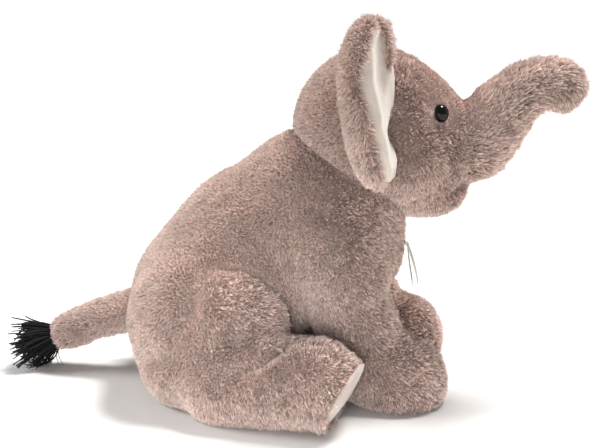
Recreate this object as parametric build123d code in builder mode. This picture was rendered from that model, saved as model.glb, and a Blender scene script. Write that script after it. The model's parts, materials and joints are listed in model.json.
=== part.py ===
from build123d import *
import os
from math import asin, cos, degrees, radians, sin

# A seated stuffed elephant, in millimetres. It faces +X, its left is +Y, and it sits on Z = 0.
# A ball is (x, y, z, radius). An egg is two balls joined by a tangent cone.
# Pieces that come in pairs are made on the right side (-Y) and mirrored to the left.

FABRIC = 2.5  # plush cloth and the roots of its pile
SLACK = 0.5  # room between the stuffing and its cover
JOINT_GAP = 0.6  # room around a piece that moves in another
BEYOND = 100  # past the outside of anything

# Body: a leaning egg from the seat to the chest
SEAT_BALL = (-2, 0, 57, 63)
CHEST_BALL = (73, 0, 128, 60)
LEAN = Vector(75, 0, 71).normalized()  # the body's long axis, up through the neck

# Neck: a stuffed ball between the body and the head
NECK_CENTRE = (99, 0, 153)
NECK_RADIUS = 28.5
NECK_GROOVE = 5.5  # each side of the neck plane, so that the head can nod

# Head
SKULL_BALL = (116, 0, 187, 55)
JAW_START = (120, 0, 172, 46)
JAW_END = (143, 0, 158, 33)
EYE_CENTRE = Vector(159, -31, 201)
EYE_AIM = Vector(0.8, -0.56, 0.2).normalized()
EYE_RADIUS = 6
EYE_SINK = 2.2  # from the head's surface to the back of the eye's dome
SHANK_RADIUS = 1.6
SHANK_LENGTH = 9
WASHER_RADIUS = 7
WASHER_THICKNESS = 1.2
FITTING_GAP = 0.3  # room around an eye's dome, shank and washer

# Trunk: round sections (x, z, radius, climb in degrees) from the root ball to the raised tip
TRUNK_ROOT = (158, 0, 175, 27)
TRUNK_SECTIONS = [
    (160, 175.5, 26, 15),
    (180, 182, 24.5, 35),
    (200, 203, 18.5, 48),
    (214, 215, 16, 30),
    (229, 219.5, 14, 5),
    (254.5, 218.5, 13, -5),
]
TRUNK_TIP_ROUND = 9
TRUNK_ROOM_END = (198, 0, 188, 43.5)  # the far ball of the cone that the trunk swings in

# Ears: half of an upright lemon, open forward and outward
EAR_CENTRE = (116, 76, 209)
EAR_RADIUS = 20
EAR_HALF_HEIGHT = 54
EAR_TILT = 4  # degrees, top leaning back
EAR_TURN = 50  # degrees from straight out to forward
EAR_LAYER = 3
LINING_LAYER = 1.5

# Tail
TAIL_ROOT = (-60, 0, 49, 13.5)
TAIL_END = (-119, 0, 28, 11)
TUFT_END = (-151, 0, 21, 11)
TUFT_RADIUS = 4
TAIL_ROOM_END = (-98, 0, 35.5, 21)  # the far ball of the cone that the tail swings in

# Forelegs
SHOULDER_BALL = (85, -36, 108, 29.5)
SHOULDER_FACE = 12  # the leg's flat inner side, from the middle plane
FOREFOOT_BALL = (133, -39, 26, 31)
FORE_BACK_SWING = 4
FORE_FRONT_SWING = 20
FORE_SOLE_RADIUS = 19

# Hind legs: a flat-sided thigh on the hip's axis, and a foot splayed outward
HIP = (8, -46, 50)
THIGH_RADIUS = 50
THIGH_HALF_WIDTH = 46
HIP_FACE = 34  # the thigh's flat inner side, from the middle plane
SHIN_BALL = (24, -66, 42, 38)
HINDFOOT_BALL = (86, -95, 28, 29)
HIND_LIFT = 16
SOLE_OFFSET = 14  # from the foot ball's centre to the sole's plane
SOLE_OUTWARD = 12
SOLE_DOWNWARD = 18
SOLE_RADIUS = 24
SOLE_THICKNESS = 2
SOLE_EDGE_ROUND = 0.7

# Weight and small parts
POUCH_BALL = (6, 0, 34, 28)
POUCH_CLOTH = 1
PELLET_LEVEL = 46
STITCH_COUNT = 8
STITCH_RADIUS = 0.6
STITCH_LENGTH = 5
STITCH_SPACING = 6
STITCH_GAP = 0.6  # between the thread and the back
LABEL_CENTRE = (-70.5, 26, 40)
LABEL_SIZE = (22, 0.8, 16)
LABEL_CORNER_ROUND = 1.5
TAG_HANGER = (131.5, 0, 111)
TAG_TOP = (138, 0, 103)
TAG_WIDTH = 24
TAG_HEIGHT = 29
TAG_CARD = 0.6
TAG_OPENING = (7, 15)  # degrees of each leaf from plumb
CORD_RADIUS = 0.6
CORD_MIDDLE = (135.5, 0, 108.5)
CORD_END = (138, 0, 104.5)


def spot(ball):
    """The centre of a ball."""
    return Vector(*ball[:3])


def shrunk(ball, inset):
    """The same ball with a smaller radius."""
    return (*ball[:3], ball[3] - inset)


def ball(shape, mode=Mode.ADD):
    """Add or subtract one ball."""
    with Locations(spot(shape)):
        Sphere(shape[3], mode=mode)


def egg(start, end, mode=Mode.ADD):
    """Add or subtract two balls and the cone that touches both."""
    span = spot(end) - spot(start)
    sideways = span.cross(Vector(0, 0, 1))
    slope = degrees(asin((start[3] - end[3]) / span.length))
    with BuildSketch(Plane(origin=spot(start), x_dir=span, z_dir=sideways)) as section:
        with BuildLine():
            back = CenterArc((0, 0), start[3], 90 - slope, 90 + slope)
            front = CenterArc((span.length, 0), end[3], 0, 90 - slope)
            Line(back @ 0, front @ 1)
            Line(back @ 1, front @ 0)
        make_face()
    revolve(section.sketch, axis=Axis(spot(start), span), mode=mode)


def keep_above(height):
    """Cut away everything under a level plane."""
    split(bisect_by=Plane.XY.offset(height), keep=Keep.TOP)


def cut_leg_slots(root, foot, face, lift, drop):
    """Cut a slot on each side in which a flat-sided leg swings about its root."""
    pivot = Plane(origin=spot(root), x_dir=(1, 0, 0), z_dir=(0, -1, 0))
    reach = pivot.to_local_coords(Vector(foot[0], root[1], foot[2]))
    with BuildSketch(Plane.XZ.offset(face - JOINT_GAP)) as slot:
        with BuildLine():
            CenterArc((root[0], root[2]), root[3] + JOINT_GAP, 0, 360)
            for angle in (lift, drop):
                far = reach.rotate(Axis.Z, angle)
                CenterArc((root[0] + far.X, root[2] + far.Y), foot[3] + JOINT_GAP, 0, 360)
        make_hull()
    right_slot = extrude(slot.sketch, amount=BEYOND, mode=Mode.SUBTRACT)
    add(mirror(right_slot, about=Plane.XZ, mode=Mode.PRIVATE), mode=Mode.SUBTRACT)


def save(piece, name):
    """Label one finished piece and write it."""
    piece.label = name
    export_step(piece, f"parts/{name}.step")


def save_pair(piece, name):
    """Write a right-hand piece and its mirror image."""
    save(piece, name.format("right"))
    save(mirror(piece, about=Plane.XZ), name.format("left"))


os.makedirs("parts", exist_ok=True)

# ---------------------------------------------------------------- forelegs


def foreleg_shape(inset, bottom):
    """A foreleg as a plain solid, a little smaller than its outside."""
    with BuildPart() as shape:
        egg(shrunk(SHOULDER_BALL, inset), shrunk(FOREFOOT_BALL, inset))
        keep_above(bottom)
        split(bisect_by=Plane.XZ.offset(SHOULDER_FACE + inset), keep=Keep.TOP)
    return shape.part


with BuildPart() as foreleg_cover:
    add(foreleg_shape(0, SOLE_THICKNESS))
    add(foreleg_shape(FABRIC, 0), mode=Mode.SUBTRACT)
save_pair(foreleg_cover.part, "foreleg_{}_cover")

with BuildPart() as foreleg_filling:
    add(foreleg_shape(FABRIC + SLACK, SOLE_THICKNESS + SLACK))
save_pair(foreleg_filling.part, "foreleg_{}_filling")

with BuildPart() as foreleg_sole:
    with Locations(spot(FOREFOOT_BALL) - Vector(0, 0, FOREFOOT_BALL[2])):
        Cylinder(FORE_SOLE_RADIUS, SOLE_THICKNESS, align=(Align.CENTER, Align.CENTER, Align.MIN))
    fillet(foreleg_sole.edges().group_by(Axis.Z)[-1], SOLE_EDGE_ROUND)
save_pair(foreleg_sole.part, "foreleg_{}_sole")

# ---------------------------------------------------------------- hind legs

sole_aim = Vector(
    cos(radians(SOLE_OUTWARD)) * cos(radians(SOLE_DOWNWARD)),
    -sin(radians(SOLE_OUTWARD)) * cos(radians(SOLE_DOWNWARD)),
    -sin(radians(SOLE_DOWNWARD)),
)
sole_plane = Plane(spot(HINDFOOT_BALL) + sole_aim * SOLE_OFFSET, z_dir=sole_aim)


def hindleg_shape(inset, sole_gap, bottom):
    """A hind leg as a plain solid: a thigh with a flat inner side, a shin and a foot."""
    with BuildPart() as shape:
        with BuildSketch(Plane(origin=HIP, x_dir=(0, 1, 0), z_dir=(1, 0, 0))) as thigh:
            Ellipse(THIGH_HALF_WIDTH - inset, THIGH_RADIUS - inset)
            Rectangle(200, 100, align=(Align.CENTER, Align.MAX), mode=Mode.SUBTRACT)
        revolve(thigh.sketch, axis=Axis(HIP, (0, 1, 0)))
        egg(shrunk(SHIN_BALL, inset), shrunk(HINDFOOT_BALL, inset))
        keep_above(bottom)
        split(bisect_by=Plane.XZ.offset(HIP_FACE + inset), keep=Keep.TOP)
        split(bisect_by=sole_plane.offset(-sole_gap), keep=Keep.BOTTOM)
    return shape.part


with BuildPart() as hindleg_cover:
    add(hindleg_shape(0, 0, 0))
    add(hindleg_shape(FABRIC, -1, FABRIC), mode=Mode.SUBTRACT)
save_pair(hindleg_cover.part, "hindleg_{}_cover")

with BuildPart() as hindleg_filling:
    add(hindleg_shape(FABRIC + SLACK, SLACK, FABRIC + SLACK))
save_pair(hindleg_filling.part, "hindleg_{}_filling")

with BuildPart() as hindleg_sole:
    with BuildSketch(sole_plane):
        Circle(SOLE_RADIUS)
    extrude(amount=SOLE_THICKNESS)
    fillet(hindleg_sole.faces().sort_by(Axis.X)[-1].edges(), SOLE_EDGE_ROUND)
    keep_above(0)
save_pair(hindleg_sole.part, "hindleg_{}_sole")

# ---------------------------------------------------------------- tail


def tail_shape(inset):
    """The tail as a plain solid."""
    with BuildPart() as shape:
        egg(shrunk(TAIL_ROOT, inset), shrunk(TAIL_END, inset))
    return shape.part


with BuildPart() as tail_cover:
    add(tail_shape(0))
    add(tail_shape(FABRIC), mode=Mode.SUBTRACT)
save(tail_cover.part, "tail_cover")

with BuildPart() as tail_filling:
    add(tail_shape(FABRIC + SLACK))
save(tail_filling.part, "tail_filling")

with BuildPart() as tail_tuft:
    egg((*TAIL_END[:3], TUFT_RADIUS), TUFT_END)
    add(tail_shape(-SLACK), mode=Mode.SUBTRACT)
save(tail_tuft.part, "tail_tuft")

# ---------------------------------------------------------------- trunk


def trunk_shape(inset):
    """The trunk as a plain solid: a root ball and a lofted curl with a rounded tip."""
    with BuildPart() as shape:
        for x, z, radius, climb in TRUNK_SECTIONS:
            onward = Vector(cos(radians(climb)), 0, sin(radians(climb)))
            setback = inset if (x, z) == TRUNK_SECTIONS[-1][:2] else 0
            with BuildSketch(Plane(Vector(x, 0, z) - onward * setback, x_dir=(0, 1, 0), z_dir=onward)):
                Circle(radius - inset)
        loft()
        fillet(shape.edges().sort_by(Axis.X)[-1], TRUNK_TIP_ROUND - inset)
        ball(shrunk(TRUNK_ROOT, inset))
    return shape.part


with BuildPart() as trunk_cover:
    add(trunk_shape(0))
    add(trunk_shape(FABRIC), mode=Mode.SUBTRACT)
save(trunk_cover.part, "trunk_cover")

with BuildPart() as trunk_filling:
    add(trunk_shape(FABRIC + SLACK))
save(trunk_filling.part, "trunk_filling")

# ---------------------------------------------------------------- eyes

eye_plane = Plane(EYE_CENTRE - EYE_AIM * EYE_SINK, z_dir=EYE_AIM)

with BuildPart(eye_plane) as eye:
    Cylinder(EYE_RADIUS, 1, align=(Align.CENTER, Align.CENTER, Align.MIN))
    with Locations((0, 0, 1)):
        Sphere(EYE_RADIUS, arc_size1=0, align=(Align.CENTER, Align.CENTER, Align.MIN))
    Cylinder(SHANK_RADIUS, SHANK_LENGTH, align=(Align.CENTER, Align.CENTER, Align.MAX))
save_pair(eye.part, "eye_{}")

with BuildPart(eye_plane.offset(-SHANK_LENGTH + 1)) as eye_washer:
    Cylinder(WASHER_RADIUS, WASHER_THICKNESS, align=(Align.CENTER, Align.CENTER, Align.MIN))
    Cylinder(SHANK_RADIUS + 0.05, 4, mode=Mode.SUBTRACT)
save_pair(eye_washer.part, "eye_washer_{}")


def eye_room():
    """Room in the head for one eye, its shank and its washer."""
    with BuildPart(eye_plane) as room:
        Cylinder(EYE_RADIUS + FITTING_GAP, 30, align=(Align.CENTER, Align.CENTER, Align.MIN))
        Cylinder(SHANK_RADIUS + FITTING_GAP, SHANK_LENGTH + 1, align=(Align.CENTER, Align.CENTER, Align.MAX))
        with Locations((0, 0, -SHANK_LENGTH + 1 - FITTING_GAP)):
            height = WASHER_THICKNESS + 2 * FITTING_GAP
            Cylinder(WASHER_RADIUS + FITTING_GAP, height, align=(Align.CENTER, Align.CENTER, Align.MIN))
    return room.part


# ---------------------------------------------------------------- neck

with BuildPart() as neck_filling:
    ball((*NECK_CENTRE, NECK_RADIUS))
save(neck_filling.part, "neck_filling")

neck_plane = Plane(NECK_CENTRE, z_dir=LEAN)

# ---------------------------------------------------------------- head

eye_rooms = [eye_room(), mirror(eye_room(), about=Plane.XZ)]


def head_shape(inset):
    """The head as a plain solid: a round skull and a jaw, with a flat neck opening."""
    with BuildPart() as shape:
        ball(shrunk(SKULL_BALL, inset))
        egg(shrunk(JAW_START, inset), shrunk(JAW_END, inset))
        split(bisect_by=neck_plane.offset(NECK_GROOVE + inset), keep=Keep.TOP)
    return shape.part


def cut_head_rooms():
    """Cut the rooms for the neck, the trunk and the eyes."""
    ball((*NECK_CENTRE, NECK_RADIUS + JOINT_GAP), mode=Mode.SUBTRACT)
    egg(shrunk(TRUNK_ROOT, -JOINT_GAP), TRUNK_ROOM_END, mode=Mode.SUBTRACT)
    for room in eye_rooms:
        add(room, mode=Mode.SUBTRACT)


with BuildPart() as head_cover:
    add(head_shape(0))
    add(head_shape(FABRIC), mode=Mode.SUBTRACT)
    cut_head_rooms()
save(head_cover.part, "head_cover")

with BuildPart() as head_filling:
    add(head_shape(FABRIC + SLACK))
    cut_head_rooms()
save(head_filling.part, "head_filling")

# ---------------------------------------------------------------- ears

ear_up = Vector(-sin(radians(EAR_TILT)), 0, cos(radians(EAR_TILT)))


def ear_layer(side, outset, thickness):
    """One layer of an ear, -1 for right and 1 for left: half of a hollow upright lemon."""
    centre = Vector(EAR_CENTRE[0], side * EAR_CENTRE[1], EAR_CENTRE[2])
    opening = Vector(sin(radians(EAR_TURN)), side * cos(radians(EAR_TURN)), 0)
    rim_plane = Plane(centre, x_dir=ear_up.cross(opening), z_dir=opening)
    with BuildPart() as layer:
        with BuildSketch(rim_plane) as rim:
            Ellipse(EAR_RADIUS + outset, EAR_HALF_HEIGHT + outset)
            Ellipse(EAR_RADIUS + outset - thickness, EAR_HALF_HEIGHT + outset - thickness, mode=Mode.SUBTRACT)
            Rectangle(2 * BEYOND, 2 * BEYOND, align=(Align.MAX, Align.CENTER), mode=Mode.SUBTRACT)
        revolve(rim.sketch, axis=Axis(centre, rim_plane.y_dir), revolution_arc=180)
    return layer.part


for side_name, side in (("right", -1), ("left", 1)):
    with BuildPart() as ear_back:
        add(ear_layer(side, 0, EAR_LAYER))
    save(ear_back.part, f"ear_{side_name}_back")

    with BuildPart() as ear_lining:
        add(ear_layer(side, -EAR_LAYER, LINING_LAYER))
    save(ear_lining.part, f"ear_{side_name}_lining")

# ---------------------------------------------------------------- body


def torso_shape(inset):
    """The body as a plain solid, flat underneath and at the neck."""
    with BuildPart() as shape:
        egg(shrunk(SEAT_BALL, inset), shrunk(CHEST_BALL, inset))
        keep_above(inset)
        split(bisect_by=neck_plane.offset(-NECK_GROOVE - inset), keep=Keep.BOTTOM)
    return shape.part


def cut_torso_rooms():
    """Cut the rooms for the neck, the legs and the tail."""
    ball((*NECK_CENTRE, NECK_RADIUS + JOINT_GAP), mode=Mode.SUBTRACT)
    cut_leg_slots(SHOULDER_BALL, FOREFOOT_BALL, SHOULDER_FACE, FORE_FRONT_SWING, -FORE_BACK_SWING)
    cut_leg_slots((*HIP, THIGH_RADIUS), HINDFOOT_BALL, HIP_FACE, HIND_LIFT, 0)
    egg(shrunk(TAIL_ROOT, -JOINT_GAP), TAIL_ROOM_END, mode=Mode.SUBTRACT)


with BuildPart() as torso_cover:
    add(torso_shape(0))
    add(torso_shape(FABRIC), mode=Mode.SUBTRACT)
    cut_torso_rooms()
save(torso_cover.part, "torso_cover")

with BuildPart() as torso_filling:
    add(torso_shape(FABRIC + SLACK))
    cut_torso_rooms()
    ball(shrunk(POUCH_BALL, -SLACK), mode=Mode.SUBTRACT)
save(torso_filling.part, "torso_filling")

with BuildPart() as pellet_pouch:
    ball(POUCH_BALL)
    ball(shrunk(POUCH_BALL, POUCH_CLOTH), mode=Mode.SUBTRACT)
save(pellet_pouch.part, "pellet_pouch")

with BuildPart() as pellet_fill:
    ball(shrunk(POUCH_BALL, POUCH_CLOTH + SLACK))
    split(bisect_by=Plane.XY.offset(PELLET_LEVEL), keep=Keep.BOTTOM)
save(pellet_fill.part, "pellet_fill")

# ---------------------------------------------------------------- closing thread, care label

# The thread crosses the back seam, between the tail and the neck.
back_direction = LEAN.cross(Vector(0, 1, 0))
taper = (SEAT_BALL[3] - CHEST_BALL[3]) / (spot(CHEST_BALL) - spot(SEAT_BALL)).length
back_foot = spot(SEAT_BALL) + back_direction * (SEAT_BALL[3] + STITCH_RADIUS + STITCH_GAP)

with BuildPart() as closing_thread:
    for index in range(STITCH_COUNT):
        along = STITCH_SPACING * (index + 2)
        centre = back_foot + LEAN * along - back_direction * along * taper
        with BuildSketch(Plane(centre - Vector(0, STITCH_LENGTH / 2, 0), z_dir=(0, 1, 0))):
            Circle(STITCH_RADIUS)
        extrude(amount=STITCH_LENGTH)
save(closing_thread.part, "closing_thread")

# The label stands out of the seam beside the tail, on the left.
with BuildPart() as care_label:
    with Locations(LABEL_CENTRE):
        Box(*LABEL_SIZE)
    fillet(care_label.edges().filter_by(Axis.Y), LABEL_CORNER_ROUND)
save(care_label.part, "care_label")

# ---------------------------------------------------------------- hang tag

with BuildPart() as tag_cord:
    with BuildLine() as cord_line:
        Spline(TAG_HANGER, CORD_MIDDLE, CORD_END)
    with BuildSketch(Plane(cord_line.line @ 0, z_dir=cord_line.line % 0)):
        Circle(CORD_RADIUS)
    sweep()
save(tag_cord.part, "tag_cord")


def leaf_point(angle, down, inward):
    """A point of the folded card's section, seen from its right-hand side."""
    turn = radians(angle)
    return (down * sin(turn) + inward * cos(turn), inward * sin(turn) - down * cos(turn))


crease_depth = TAG_CARD / sin(radians((TAG_OPENING[1] - TAG_OPENING[0]) / 2))
with BuildPart() as hang_tag:
    with BuildSketch(Plane(origin=TAG_TOP, x_dir=(1, 0, 0), z_dir=(0, -1, 0))):
        Polygon(
            (0, 0),
            leaf_point(TAG_OPENING[0], TAG_HEIGHT, 0),
            leaf_point(TAG_OPENING[0], TAG_HEIGHT, TAG_CARD),
            leaf_point(sum(TAG_OPENING) / 2, crease_depth, 0),
            leaf_point(TAG_OPENING[1], TAG_HEIGHT, -TAG_CARD),
            leaf_point(TAG_OPENING[1], TAG_HEIGHT, 0),
            align=None,
        )
    extrude(amount=TAG_WIDTH / 2, both=True)
save(hang_tag.part, "hang_tag")
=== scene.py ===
"""Looks of a seated stuffed elephant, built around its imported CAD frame."""
import json
import math
import bmesh
import bpy
import numpy as np
from mathutils import Matrix, Vector, noise
from mathutils.bvhtree import BVHTree


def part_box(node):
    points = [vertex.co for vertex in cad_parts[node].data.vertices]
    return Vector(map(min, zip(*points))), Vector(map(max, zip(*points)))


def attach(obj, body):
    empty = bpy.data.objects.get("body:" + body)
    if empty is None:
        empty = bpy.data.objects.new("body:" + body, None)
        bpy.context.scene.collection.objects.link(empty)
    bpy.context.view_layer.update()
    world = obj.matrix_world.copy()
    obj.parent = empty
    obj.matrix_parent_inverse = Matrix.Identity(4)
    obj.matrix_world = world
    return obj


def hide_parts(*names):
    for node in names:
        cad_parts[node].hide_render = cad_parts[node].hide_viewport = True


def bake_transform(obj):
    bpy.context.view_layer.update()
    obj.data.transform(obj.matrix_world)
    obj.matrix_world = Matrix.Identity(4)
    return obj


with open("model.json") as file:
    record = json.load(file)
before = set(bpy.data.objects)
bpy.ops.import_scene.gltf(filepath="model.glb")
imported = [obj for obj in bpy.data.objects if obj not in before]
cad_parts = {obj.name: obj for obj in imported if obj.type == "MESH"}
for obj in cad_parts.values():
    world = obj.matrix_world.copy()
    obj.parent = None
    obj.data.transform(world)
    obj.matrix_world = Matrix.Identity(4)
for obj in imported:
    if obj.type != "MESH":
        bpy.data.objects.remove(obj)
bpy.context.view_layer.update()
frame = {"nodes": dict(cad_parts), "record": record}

MM = 0.001
SIDES = (("right", -1), ("left", 1))
joints = {joint["name"]: Vector(joint["pos_m"]) for joint in frame["record"]["behaviour"]["joints"]}

# Anchors, from the frame. Everything else is an offset from them, in millimetres.
NECK = joints["head_nod"]
TRUNK_ROOT = joints["trunk_bend"]
TAIL_ROOT = joints["tail_lift"]
SHOULDER = joints["foreleg_left_swing"]
HIP = joints["hindleg_left_lift"]
EAR_HINGE = joints["ear_left_flap"]
TUFT_ROOT = joints["tuft_swing"]
TAG_HANGER = joints["tag_swing"]

# Plush pile
PILE_LENGTH = 3.0 * MM
PILE_DENSITY = 3.4e6  # strands per square metre
PILE_RADIUS = 0.20 * MM  # a strand's radius at its root

STUFFING_FRAMES = 14  # length of the cloth simulation that swells a skin

# ---------------------------------------------------------------- mesh tools


def mm(x, y, z):
    """A vector given in millimetres."""
    return Vector((x, y, z)) * MM


def at(anchor, side, x, y, z):
    """A point offset from an anchor on the left side, taken to the given side. Offsets in millimetres."""
    point = anchor + mm(x, y, z)
    return Vector((point.x, side * point.y, point.z))


def hull(bm, *balls):
    """Add the convex hull of some balls, each (centre, radius in mm), to a bmesh."""
    part = bmesh.new()
    for centre, radius in balls:
        place = Matrix.Translation(centre)
        bmesh.ops.create_icosphere(part, subdivisions=3, radius=radius * MM, matrix=place)
    found = bmesh.ops.convex_hull(part, input=part.verts[:])
    inner = {item for item in found["geom_interior"] if isinstance(item, bmesh.types.BMVert)}
    bmesh.ops.delete(part, geom=list(inner), context="VERTS")
    holder = bpy.data.meshes.new("hull")
    part.to_mesh(holder)
    part.free()
    bm.from_mesh(holder)
    bpy.data.meshes.remove(holder)


def chain(bm, balls):
    """Add hulls between neighbours in a list of balls."""
    for start, end in zip(balls, balls[1:]):
        hull(bm, start, end)


def new_object(name, mesh):
    """Put a mesh in the scene as an object."""
    obj = bpy.data.objects.new(name, mesh)
    bpy.context.scene.collection.objects.link(obj)
    return obj


def object_from(name, bm):
    """Make an object from a bmesh, and free the bmesh."""
    mesh = bpy.data.meshes.new(name)
    bm.to_mesh(mesh)
    bm.free()
    return new_object(name, mesh)


def apply_modifiers(obj):
    """Replace an object's mesh with its evaluated one."""
    graph = bpy.context.evaluated_depsgraph_get()
    mesh = bpy.data.meshes.new_from_object(obj.evaluated_get(graph))
    obj.modifiers.clear()
    old, obj.data = obj.data, mesh
    bpy.data.meshes.remove(old)


def remeshed(name, bm, voxel):
    """One closed skin around everything in a bmesh."""
    obj = object_from(name, bm)
    remesh = obj.modifiers.new("skin", "REMESH")
    remesh.mode = "VOXEL"
    remesh.voxel_size = voxel * MM
    apply_modifiers(obj)
    return obj


def points_of(obj):
    """The object's vertex positions, as an array."""
    flat = np.empty(len(obj.data.vertices) * 3)
    obj.data.vertices.foreach_get("co", flat)
    return flat.reshape(-1, 3)


def normals_of(obj):
    """The object's vertex normals, as an array."""
    flat = np.empty(len(obj.data.vertices) * 3)
    obj.data.vertex_normals.foreach_get("vector", flat)
    return flat.reshape(-1, 3)


def set_points(obj, points):
    """Write vertex positions back."""
    obj.data.vertices.foreach_set("co", points.astype(np.float32).ravel())
    obj.data.update()


def smooth(obj, rounds, share=0.5):
    """Relax a mesh, which rounds the creases between its hulls."""
    edges = np.empty(len(obj.data.edges) * 2, dtype=np.int64)
    obj.data.edges.foreach_get("vertices", edges)
    edges = edges.reshape(-1, 2)
    count = len(obj.data.vertices)
    degree = np.maximum(np.bincount(edges.ravel(), minlength=count), 1)[:, None]
    points = points_of(obj)
    for _ in range(rounds):
        total = np.empty_like(points)
        for axis in range(3):
            total[:, axis] = np.bincount(edges[:, 0], points[edges[:, 1], axis], count)
            total[:, axis] += np.bincount(edges[:, 1], points[edges[:, 0], axis], count)
        points += share * (total / degree - points)
    set_points(obj, points)


def inflate(obj, distance):
    """Move every vertex along its normal, in millimetres."""
    set_points(obj, points_of(obj) + normals_of(obj) * distance * MM)


def sit(obj, height=0.3):
    """Flatten whatever would go below a height over the floor, in millimetres."""
    points = points_of(obj)
    low = height * MM
    sunk = points[:, 2] < low
    points[sunk, 2] = low - (low - points[sunk, 2]) * 0.02
    set_points(obj, points)


def stuffed(obj, cap, pressure=4.0):
    """Swell a skin with a short cloth simulation, and cap how far it moves, in millimetres."""
    start = points_of(obj)
    cloth = obj.modifiers.new("stuffing", "CLOTH")
    cloth.settings.use_pressure = True
    cloth.settings.uniform_pressure_force = pressure
    cloth.settings.effector_weights.gravity = 0
    cloth.settings.quality = 4
    cloth.point_cache.frame_start = 1
    cloth.point_cache.frame_end = STUFFING_FRAMES
    scene = bpy.context.scene
    for number in range(1, STUFFING_FRAMES + 1):
        scene.frame_set(number)
    graph = bpy.context.evaluated_depsgraph_get()
    moved = points_of(obj.evaluated_get(graph))
    obj.modifiers.clear()
    scene.frame_set(1)
    step = moved - start
    length = np.maximum(np.linalg.norm(step, axis=1), 1e-9)
    limit = cap * MM
    step *= (limit * np.tanh(length / limit) / length)[:, None]
    set_points(obj, start + step)


def subdivided(obj):
    """Apply one subdivision, after any modifiers the object has."""
    sub = obj.modifiers.new("sub", "SUBSURF")
    sub.levels = sub.render_levels = 1
    apply_modifiers(obj)


def plumped(obj, cap, floor=0.3):
    """Swell and refine a skin that sits on the floor. Cap and floor height in millimetres."""
    sit(obj, floor)
    stuffed(obj, cap)
    sit(obj, floor)
    subdivided(obj)


def finish(obj, material):
    """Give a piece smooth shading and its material."""
    obj.data.polygons.foreach_set("use_smooth", [True] * len(obj.data.polygons))
    obj.data.materials.append(material)


def tufts(obj, amount, size):
    """Raise the skin in small soft tufts, in millimetres."""
    points, normals = points_of(obj), normals_of(obj)
    scale = 1 / (size * MM)
    rise = np.array([noise.fractal(Vector(point) * scale, 1.0, 2.0, 2) for point in points])
    set_points(obj, points + normals * (rise * amount * MM)[:, None])


def segment_distance(points, start, end):
    """Distance of each point from a line segment."""
    start, end = np.array(start), np.array(end)
    span = end - start
    along = np.clip((points - start) @ span / (span @ span), 0, 1)
    return np.linalg.norm(points - start - along[:, None] * span, axis=1)


def crease(obj, path, depth, width):
    """Press a soft groove into the skin along a path of points. Depth and width in millimetres."""
    points, normals = points_of(obj), normals_of(obj)
    distance = np.min([segment_distance(points, a, b) for a, b in zip(path, path[1:])], axis=0)
    press = depth * MM * np.exp(-((distance / (width * MM)) ** 2))
    set_points(obj, points - normals * press[:, None])


def float_attribute(obj, name, values):
    """Store one number per vertex."""
    attribute = obj.data.attributes.new(name, "FLOAT", "POINT")
    attribute.data.foreach_set("value", np.asarray(values, dtype=np.float32))


def vector_attribute(obj, name, values):
    """Store one vector per vertex."""
    attribute = obj.data.attributes.new(name, "FLOAT_VECTOR", "POINT")
    attribute.data.foreach_set("vector", np.asarray(values, dtype=np.float32).ravel())


# ---------------------------------------------------------------- materials


class Nodes:
    """A small helper that adds and links nodes in one tree."""

    def __init__(self, tree):
        self.tree = tree

    def fill(self, node, inputs):
        """Link or set inputs of a node."""
        for key, value in inputs.items():
            if isinstance(value, bpy.types.NodeSocket):
                self.tree.links.new(value, node.inputs[key])
            else:
                node.inputs[key].default_value = value

    def add(self, kind, inputs=None, **settings):
        """Add a node."""
        node = self.tree.nodes.new(kind)
        for key, value in settings.items():
            setattr(node, key, value)
        self.fill(node, inputs or {})
        return node

    def pattern(self, scale, detail, roughness=0.5):
        """A noise pattern that is fixed to the object."""
        place = self.add("ShaderNodeTexCoord").outputs["Object"]
        inputs = {"Vector": place, "Scale": scale, "Detail": detail, "Roughness": roughness}
        return self.add("ShaderNodeTexNoise", inputs).outputs["Fac"]

    def relief(self, height, strength, distance):
        """A normal that follows a pattern's relief. Distance in metres."""
        inputs = {"Height": height, "Strength": strength, "Distance": distance}
        return self.add("ShaderNodeBump", inputs).outputs["Normal"]


def new_material(name):
    """A node material with an empty principled shader, its helper and the shader node."""
    material = bpy.data.materials.new(name)
    material.use_nodes = True
    nodes = Nodes(material.node_tree)
    shader = material.node_tree.nodes["Principled BSDF"]
    return material, nodes, shader


def colour_ramp(nodes, factor, stops):
    """A colour ramp from (place, colour) stops."""
    ramp = nodes.add("ShaderNodeValToRGB", {"Fac": factor})
    elements = ramp.color_ramp.elements
    while len(elements) < len(stops):
        elements.new(0.5)
    for element, (place, colour) in zip(elements, stops):
        element.position = place
        element.color = (*colour, 1)
    return ramp.outputs["Color"]


PLUSH_DARK = (0.31, 0.214, 0.184)
PLUSH_MID = (0.69, 0.522, 0.465)
PLUSH_LIGHT = (0.97, 0.82, 0.75)


def plush_strand_material():
    """Pile fibre: dark at the root, pale at the tip, varied from strand to strand."""
    material, nodes, shader = new_material("plush_pile")
    info = nodes.add("ShaderNodeHairInfo").outputs
    stops = [(0.0, PLUSH_DARK), (0.55, PLUSH_MID), (1.0, PLUSH_LIGHT)]
    base = colour_ramp(nodes, info["Intercept"], stops)
    tone = nodes.add("ShaderNodeAttribute", attribute_name="tone").outputs["Fac"]
    spread = nodes.add("ShaderNodeMapRange", {"Value": info["Random"], "To Min": 0.78, "To Max": 1.18})
    both = {0: tone, 1: spread.outputs["Result"]}
    level = nodes.add("ShaderNodeMath", both, operation="MULTIPLY").outputs[0]
    colour = nodes.add("ShaderNodeHueSaturation", {"Color": base, "Value": level}).outputs["Color"]
    nodes.fill(shader, {
        "Base Color": colour,
        "Roughness": 0.62,
        "Specular IOR Level": 0.25,
        "Sheen Weight": 0.15,
    })
    return material


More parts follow.
